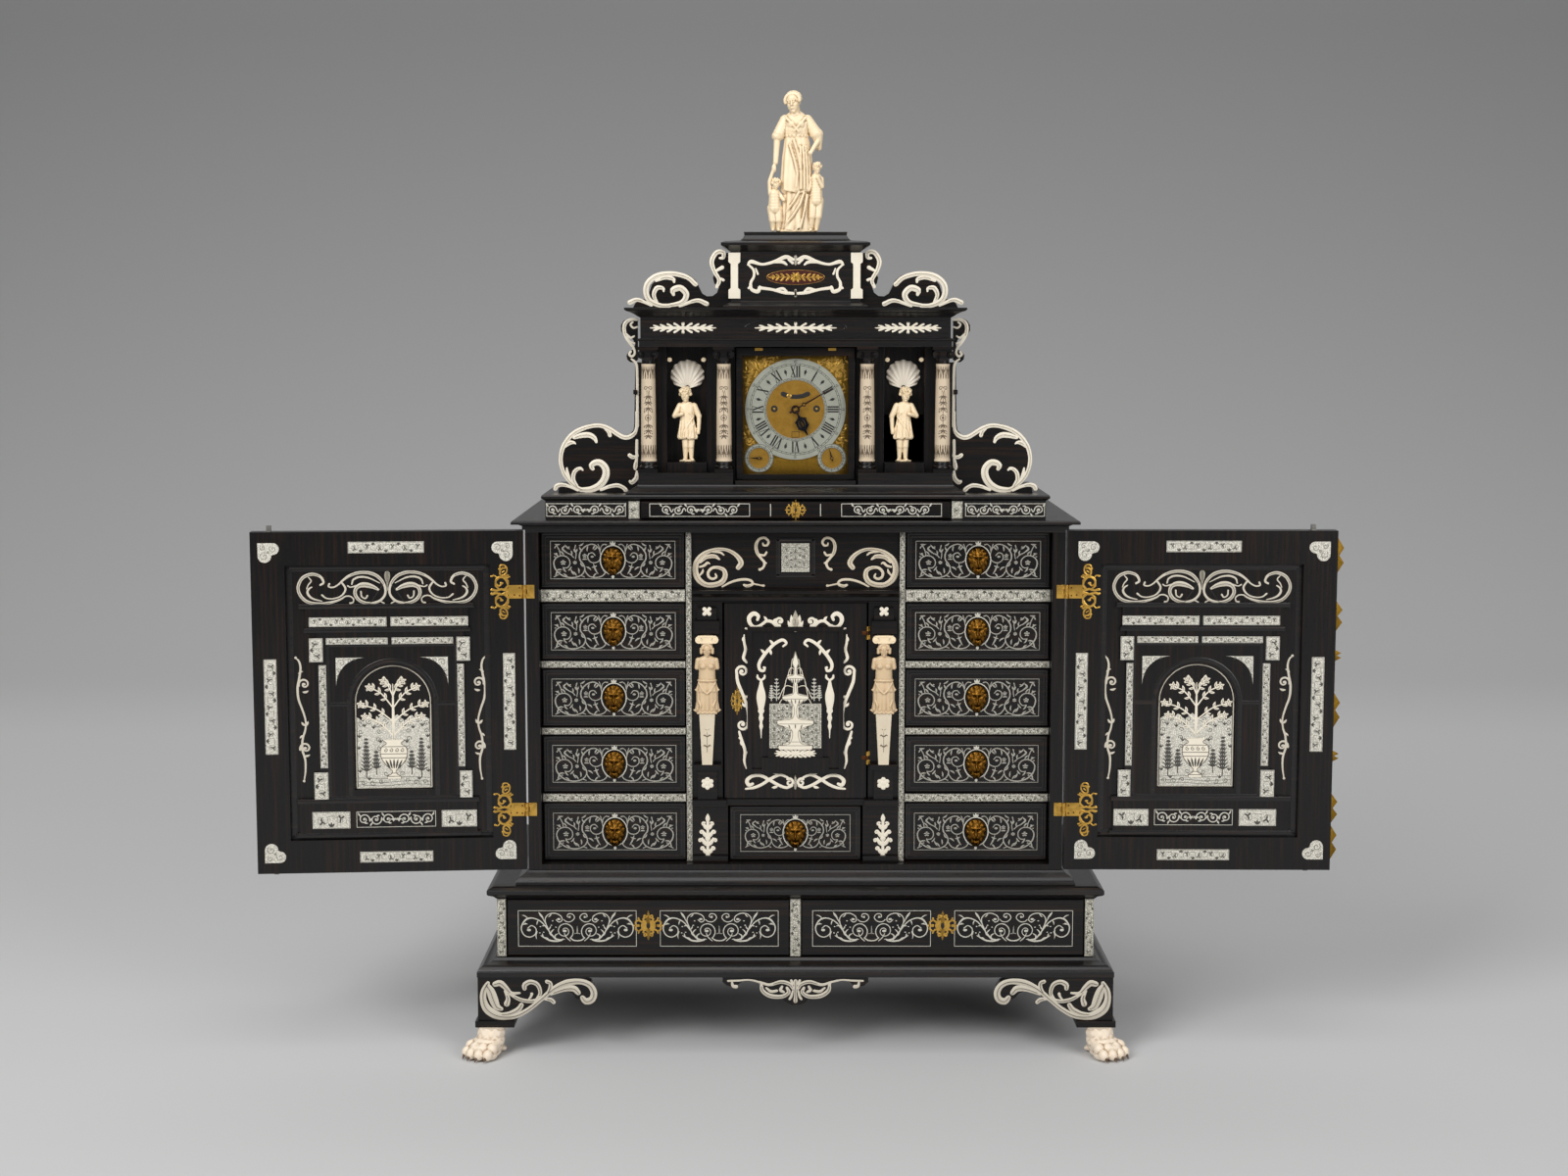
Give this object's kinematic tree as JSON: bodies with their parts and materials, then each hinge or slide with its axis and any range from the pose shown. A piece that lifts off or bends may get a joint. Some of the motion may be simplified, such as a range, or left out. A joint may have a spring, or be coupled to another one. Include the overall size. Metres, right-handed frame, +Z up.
{
  "type": "collectors cabinet",
  "caption": "Ebony and ivory collector's cabinet on paw feet, its two doors opening on small drawers round an inner door, with a columned clock stage and a carved group on top.",
  "frame": {"origin": "bottom centre of the whole as pictured, on the floor under the paw feet", "axes": "+Z up, front towards -Y, +X to the right as seen from the front, along the open doors"},
  "size_m": [1.6669, 0.5253, 1.473],
  "materials": {
    "ebony": "satin polished ebony",
    "ivory": "polished ivory",
    "gilt_brass": "fire gilt",
    "silvered_brass": "matt silvered",
    "blued_steel": "blued",
    "glass": "clear"
  },
  "bodies": {
    "cabinet": {"paw_feet": "ivory", "bracket_feet": "ebony", "apron_drop": "ebony", "base_moulding": "ebony", "base_case": "ebony", "base_lid": "ebony", "carcass_case": "ebony", "carcass_cornice": "ebony", "partitions": "ebony", "ivory_strips": "ivory", "centre_frame": "ebony", "herm_figures": "ivory", "hinge_leaves": "gilt_brass", "clock_plinth": "ebony", "stage_base": "ebony", "clock_case": "ebony", "columns": "ivory", "column_capitals": "ebony", "entablature": "ebony", "attic": "ebony", "scroll_brackets": "ebony", "ivory_scrolls": "ivory", "statue": "ivory", "niche_figures": "ivory", "dial_plate": "gilt_brass", "chapter_ring": "silvered_brass", "clock_movement": "gilt_brass"},
    "left_door": {"left_door": "ebony", "left_door_hinges": "gilt_brass"},
    "right_door": {"right_door": "ebony", "right_door_hinges": "gilt_brass", "edge_mounts": "gilt_brass"},
    "left_top_bolt": {"left_top_bolt": "gilt_brass"},
    "left_bottom_bolt": {"left_bottom_bolt": "gilt_brass"},
    "right_top_bolt": {"right_top_bolt": "gilt_brass"},
    "right_bottom_bolt": {"right_bottom_bolt": "gilt_brass"},
    "centre_door": {"centre_door": "ebony", "centre_door_fittings": "gilt_brass"},
    "left_drawer_1": {"left_drawer_1": "ebony"},
    "left_drawer_2": {"left_drawer_2": "ebony"},
    "left_drawer_3": {"left_drawer_3": "ebony"},
    "left_drawer_4": {"left_drawer_4": "ebony"},
    "left_drawer_5": {"left_drawer_5": "ebony"},
    "right_drawer_1": {"right_drawer_1": "ebony"},
    "right_drawer_2": {"right_drawer_2": "ebony"},
    "right_drawer_3": {"right_drawer_3": "ebony"},
    "right_drawer_4": {"right_drawer_4": "ebony"},
    "right_drawer_5": {"right_drawer_5": "ebony"},
    "centre_drawer": {"centre_drawer": "ebony"},
    "left_base_drawer": {"left_base_drawer": "ebony"},
    "right_base_drawer": {"right_base_drawer": "ebony"},
    "plinth_drawer": {"plinth_drawer": "ebony"},
    "clock_flap": {"clock_bezel": "ebony", "clock_glass": "glass"},
    "minute_hand": {"minute_hand": "blued_steel"},
    "hour_hand": {"hour_hand": "blued_steel"},
    "left_subdial_hand": {"left_subdial_hand": "blued_steel"},
    "right_subdial_hand": {"right_subdial_hand": "blued_steel"}
  },
  "joints": [
    {"name": "left_door_hinge", "type": "hinge", "parent": "cabinet", "child": "left_door", "pos_m": [-0.4135, -0.1655, 0.543], "axis": [0, 0, -1], "range_deg": [-175.52, 4.4]},
    {"name": "right_door_hinge", "type": "hinge", "parent": "cabinet", "child": "right_door", "pos_m": [0.4135, -0.1655, 0.543], "axis": [0, 0, 1], "range_deg": [-179.31, 0.6]},
    {"name": "left_top_bolt_slide", "type": "slide", "parent": "left_door", "child": "left_top_bolt", "axis": [0, 0, 1], "range_m": [-0.009, 0]},
    {"name": "left_bottom_bolt_slide", "type": "slide", "parent": "left_door", "child": "left_bottom_bolt", "axis": [0, 0, -1], "range_m": [-0.0045, 0]},
    {"name": "right_top_bolt_slide", "type": "slide", "parent": "right_door", "child": "right_top_bolt", "axis": [0, 0, 1], "range_m": [-0.009, 0]},
    {"name": "right_bottom_bolt_slide", "type": "slide", "parent": "right_door", "child": "right_bottom_bolt", "axis": [0, 0, -1], "range_m": [-0.0045, 0]},
    {"name": "centre_door_hinge", "type": "hinge", "parent": "cabinet", "child": "centre_door", "pos_m": [0.1115, -0.143, 0.54], "axis": [0, 0, 1], "range_deg": [0, 90]},
    {"name": "left_drawer_1_slide", "type": "slide", "parent": "cabinet", "child": "left_drawer_1", "axis": [0, -1, 0], "range_m": [0, 0.28]},
    {"name": "left_drawer_2_slide", "type": "slide", "parent": "cabinet", "child": "left_drawer_2", "axis": [0, -1, 0], "range_m": [0, 0.28]},
    {"name": "left_drawer_3_slide", "type": "slide", "parent": "cabinet", "child": "left_drawer_3", "axis": [0, -1, 0], "range_m": [0, 0.28]},
    {"name": "left_drawer_4_slide", "type": "slide", "parent": "cabinet", "child": "left_drawer_4", "axis": [0, -1, 0], "range_m": [0, 0.28]},
    {"name": "left_drawer_5_slide", "type": "slide", "parent": "cabinet", "child": "left_drawer_5", "axis": [0, -1, 0], "range_m": [0, 0.28]},
    {"name": "right_drawer_1_slide", "type": "slide", "parent": "cabinet", "child": "right_drawer_1", "axis": [0, -1, 0], "range_m": [0, 0.28]},
    {"name": "right_drawer_2_slide", "type": "slide", "parent": "cabinet", "child": "right_drawer_2", "axis": [0, -1, 0], "range_m": [0, 0.28]},
    {"name": "right_drawer_3_slide", "type": "slide", "parent": "cabinet", "child": "right_drawer_3", "axis": [0, -1, 0], "range_m": [0, 0.28]},
    {"name": "right_drawer_4_slide", "type": "slide", "parent": "cabinet", "child": "right_drawer_4", "axis": [0, -1, 0], "range_m": [0, 0.28]},
    {"name": "right_drawer_5_slide", "type": "slide", "parent": "cabinet", "child": "right_drawer_5", "axis": [0, -1, 0], "range_m": [0, 0.28]},
    {"name": "centre_drawer_slide", "type": "slide", "parent": "cabinet", "child": "centre_drawer", "axis": [0, -1, 0], "range_m": [0, 0.28]},
    {"name": "left_base_drawer_slide", "type": "slide", "parent": "cabinet", "child": "left_base_drawer", "axis": [0, -1, 0], "range_m": [0, 0.28]},
    {"name": "right_base_drawer_slide", "type": "slide", "parent": "cabinet", "child": "right_base_drawer", "axis": [0, -1, 0], "range_m": [0, 0.28]},
    {"name": "plinth_drawer_slide", "type": "slide", "parent": "cabinet", "child": "plinth_drawer", "axis": [0, -1, 0], "range_m": [0, 0.18]},
    {"name": "clock_flap_hinge", "type": "hinge", "parent": "cabinet", "child": "clock_flap", "pos_m": [0, -0.125, 1.08], "axis": [-1, 0, 0], "range_deg": [0, 88]},
    {"name": "minute_hand_turn", "type": "hinge", "parent": "cabinet", "child": "minute_hand", "pos_m": [0, -0.105, 0.988], "axis": [0, 1, 0], "continuous": true},
    {"name": "hour_hand_turn", "type": "hinge", "parent": "cabinet", "child": "hour_hand", "pos_m": [0, -0.105, 0.988], "axis": [0, 1, 0], "continuous": true},
    {"name": "left_subdial_hand_turn", "type": "hinge", "parent": "cabinet", "child": "left_subdial_hand", "pos_m": [-0.056, -0.105, 0.913], "axis": [0, 1, 0], "range_deg": [-90, 150]},
    {"name": "right_subdial_hand_turn", "type": "hinge", "parent": "cabinet", "child": "right_subdial_hand", "pos_m": [0.056, -0.105, 0.913], "axis": [0, 1, 0], "range_deg": [-90, 150]}
  ],
  "couplings": [
    {"joint": "hour_hand_turn", "follows": "minute_hand_turn", "ratio": 0.083333}
  ]
}
